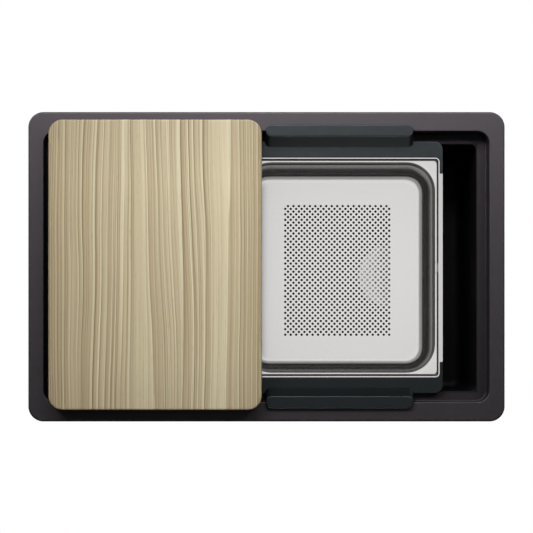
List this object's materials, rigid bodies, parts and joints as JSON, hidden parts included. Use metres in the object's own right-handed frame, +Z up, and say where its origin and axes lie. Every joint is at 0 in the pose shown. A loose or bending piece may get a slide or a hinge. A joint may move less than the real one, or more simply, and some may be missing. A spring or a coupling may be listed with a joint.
{
  "type": "workstation kitchen sink",
  "caption": "Inset single-bowl sink in dark granite composite with an inner ledge, a wooden board, a sliding frame with two handles and a perforated drip pan, and its waste fittings.",
  "frame": {"origin": "centre of the worktop cut-out on the worktop's surface, under the middle of the rim", "axes": "+X to the right, +Y to the back of the worktop, +Z up out of the bowl"},
  "size_m": [0.785, 0.51, 0.312],
  "materials": {
    "granite": "fine speckled anthracite granite composite, satin matt",
    "steel": "plain stainless sheet",
    "polished_steel": "brushed stainless pressing",
    "pan_steel": "fine satin stainless pressing",
    "slate_plastic": "fine matt slate moulded plastic",
    "dark_plastic": "moulded polypropylene",
    "white_plastic": "moulded polypropylene",
    "nylon": "natural nylon",
    "rubber": "matt black elastomer",
    "brass": "turned brass",
    "ash": "oiled ash, straight striped grain"
  },
  "bodies": {
    "sink": {"rim": "granite", "bowl": "granite", "bowl_floor": "granite", "rim_seal": "rubber", "clip_plugs": "nylon", "clip_arms": "steel", "clip_screws": "steel", "waste_flange": "polished_steel", "waste_top_seal": "rubber", "waste_under_seal": "rubber", "waste_body": "white_plastic", "waste_insert": "brass", "waste_screw": "steel", "overflow_cover": "polished_steel", "overflow_screw": "steel", "overflow_seal": "rubber", "overflow_elbow": "dark_plastic", "overflow_hose": "dark_plastic", "hose_clips": "steel"},
    "strainer": {"strainer_basket": "polished_steel", "strainer_seal": "rubber", "strainer_stem": "steel", "strainer_cap": "polished_steel"},
    "frame": {"frame_ring": "steel", "back_rail": "slate_plastic", "front_rail": "slate_plastic", "rail_screws": "steel"},
    "pan": {"pan": "pan_steel", "pan_floor": "pan_steel"},
    "board": {"board": "ash"}
  },
  "joints": [
    {"name": "frame_slide", "type": "slide", "parent": "sink", "child": "frame", "axis": [1, 0, 0], "range_m": [-0.004, 0.066]},
    {"name": "pan_lift", "type": "slide", "parent": "frame", "child": "pan", "axis": [0, 0, 1], "range_m": [0, 0.012]},
    {"name": "board_lift", "type": "slide", "parent": "sink", "child": "board", "axis": [0, 0, 1], "range_m": [0, 0.25]},
    {"name": "strainer_lift", "type": "slide", "parent": "sink", "child": "strainer", "axis": [0, 0, 1], "range_m": [0, 0.06]}
  ]
}
